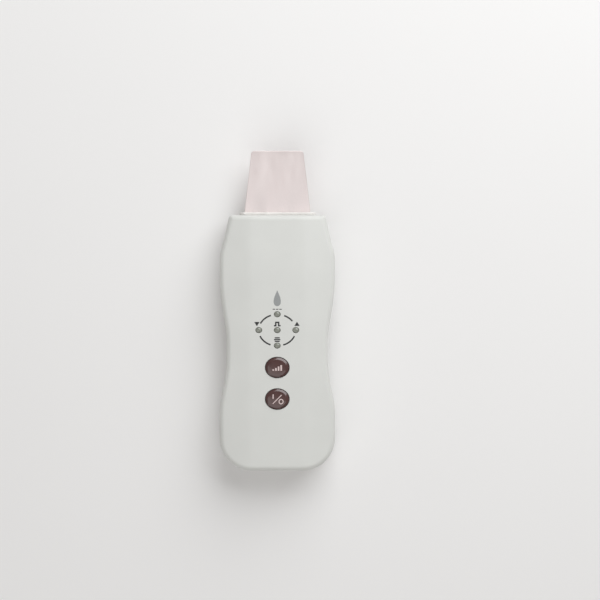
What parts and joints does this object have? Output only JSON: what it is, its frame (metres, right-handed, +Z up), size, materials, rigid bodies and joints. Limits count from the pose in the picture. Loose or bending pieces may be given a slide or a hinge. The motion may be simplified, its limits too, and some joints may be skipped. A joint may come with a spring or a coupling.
{
  "type": "skin scrubber",
  "caption": "Handheld ultrasonic skin scrubber: bent steel spatula blade in a waisted off-white casing with oval push buttons and indicator lamps",
  "frame": {"origin": "under the middle of the whole object, on the surface that its back rests on", "axes": "+Z up out of the front face that holds the buttons, +Y along the handle towards the blade's tip, +X to the right when the front face is seen from above with the blade away from the viewer"},
  "size_m": [0.0596, 0.165, 0.025],
  "materials": {
    "casing_plastic": "satin",
    "button_plastic": "glossy",
    "seal_rubber": "matt",
    "blade_steel": "satin",
    "electrode_chrome": "polished",
    "screw_steel": "satin",
    "led_lens": "glossy",
    "black_plastic": "matt",
    "white_plastic": "matt",
    "board_laminate": "lacquered",
    "copper": "satin",
    "ferrite": "matt",
    "cell_can": "printed sleeve",
    "nickel": "satin",
    "piezo_ceramic": "matt",
    "horn_aluminium": "machined",
    "dark_rubber": "matt",
    "foam": "matt",
    "wire_red": "semi-gloss",
    "wire_black": "semi-gloss",
    "wire_blue": "semi-gloss"
  },
  "bodies": {
    "housing": {"front_cover": "casing_plastic", "rear_cover": "casing_plastic", "blade_seal": "seal_rubber", "hand_electrode": "electrode_chrome", "level_switch": "black_plastic", "power_switch": "black_plastic", "led_holder": "black_plastic", "storage_capacitor": "black_plastic", "driver_transistor": "black_plastic", "controller_chip": "black_plastic", "transducer_clamp": "black_plastic", "lead_connector": "white_plastic", "indicator_led_top": "led_lens", "indicator_led_left": "led_lens", "indicator_led_centre": "led_lens", "indicator_led_right": "led_lens", "indicator_led_bottom": "led_lens", "main_board": "board_laminate", "contact_board": "board_laminate", "transformer_core": "ferrite", "tuning_coil": "ferrite", "transformer_coil": "copper", "piezo_electrode": "copper", "case_screw_lower_left": "screw_steel", "case_screw_lower_right": "screw_steel", "case_screw_upper_left": "screw_steel", "case_screw_upper_right": "screw_steel", "board_screw_left": "screw_steel", "board_screw_right": "screw_steel", "clamp_screw_left": "screw_steel", "clamp_screw_right": "screw_steel", "back_mass": "screw_steel", "transducer_bolt": "screw_steel", "charging_pin_left": "nickel", "charging_pin_right": "nickel", "battery_link_rear": "nickel", "battery_link_front": "nickel", "battery_cell_left": "cell_can", "battery_cell_middle": "cell_can", "battery_cell_right": "cell_can", "battery_pad": "foam", "scraper_blade": "blade_steel", "front_horn": "horn_aluminium", "piezo_ring_front": "piezo_ceramic", "piezo_ring_rear": "piezo_ceramic", "isolation_ring_front": "dark_rubber", "isolation_ring_rear": "dark_rubber", "battery_lead_red": "wire_red", "charging_lead_red": "wire_red", "transducer_lead_red": "wire_red", "battery_lead_black": "wire_black", "charging_lead_black": "wire_black", "transducer_lead_black": "wire_black", "electrode_lead": "wire_blue"},
    "level_button": {"level_button": "button_plastic"},
    "power_button": {"power_button": "button_plastic"},
    "level_plunger": {"level_switch_plunger": "white_plastic"},
    "power_plunger": {"power_switch_plunger": "white_plastic"}
  },
  "joints": [
    {"name": "level_button_press", "type": "slide", "parent": "housing", "child": "level_button", "axis": [0, 0, -1], "range_m": [0, 0.0005], "stiffness_N_per_m": 500, "springref_m": -0.0025},
    {"name": "level_plunger_press", "type": "slide", "parent": "housing", "child": "level_plunger", "axis": [0, 0, -1], "range_m": [0, 0.0005]},
    {"name": "power_button_press", "type": "slide", "parent": "housing", "child": "power_button", "axis": [0, 0, -1], "range_m": [0, 0.0005], "stiffness_N_per_m": 500, "springref_m": -0.0025},
    {"name": "power_plunger_press", "type": "slide", "parent": "housing", "child": "power_plunger", "axis": [0, 0, -1], "range_m": [0, 0.0005]}
  ],
  "couplings": [
    {"joint": "level_plunger_press", "follows": "level_button_press", "ratio": 1},
    {"joint": "power_plunger_press", "follows": "power_button_press", "ratio": 1}
  ]
}
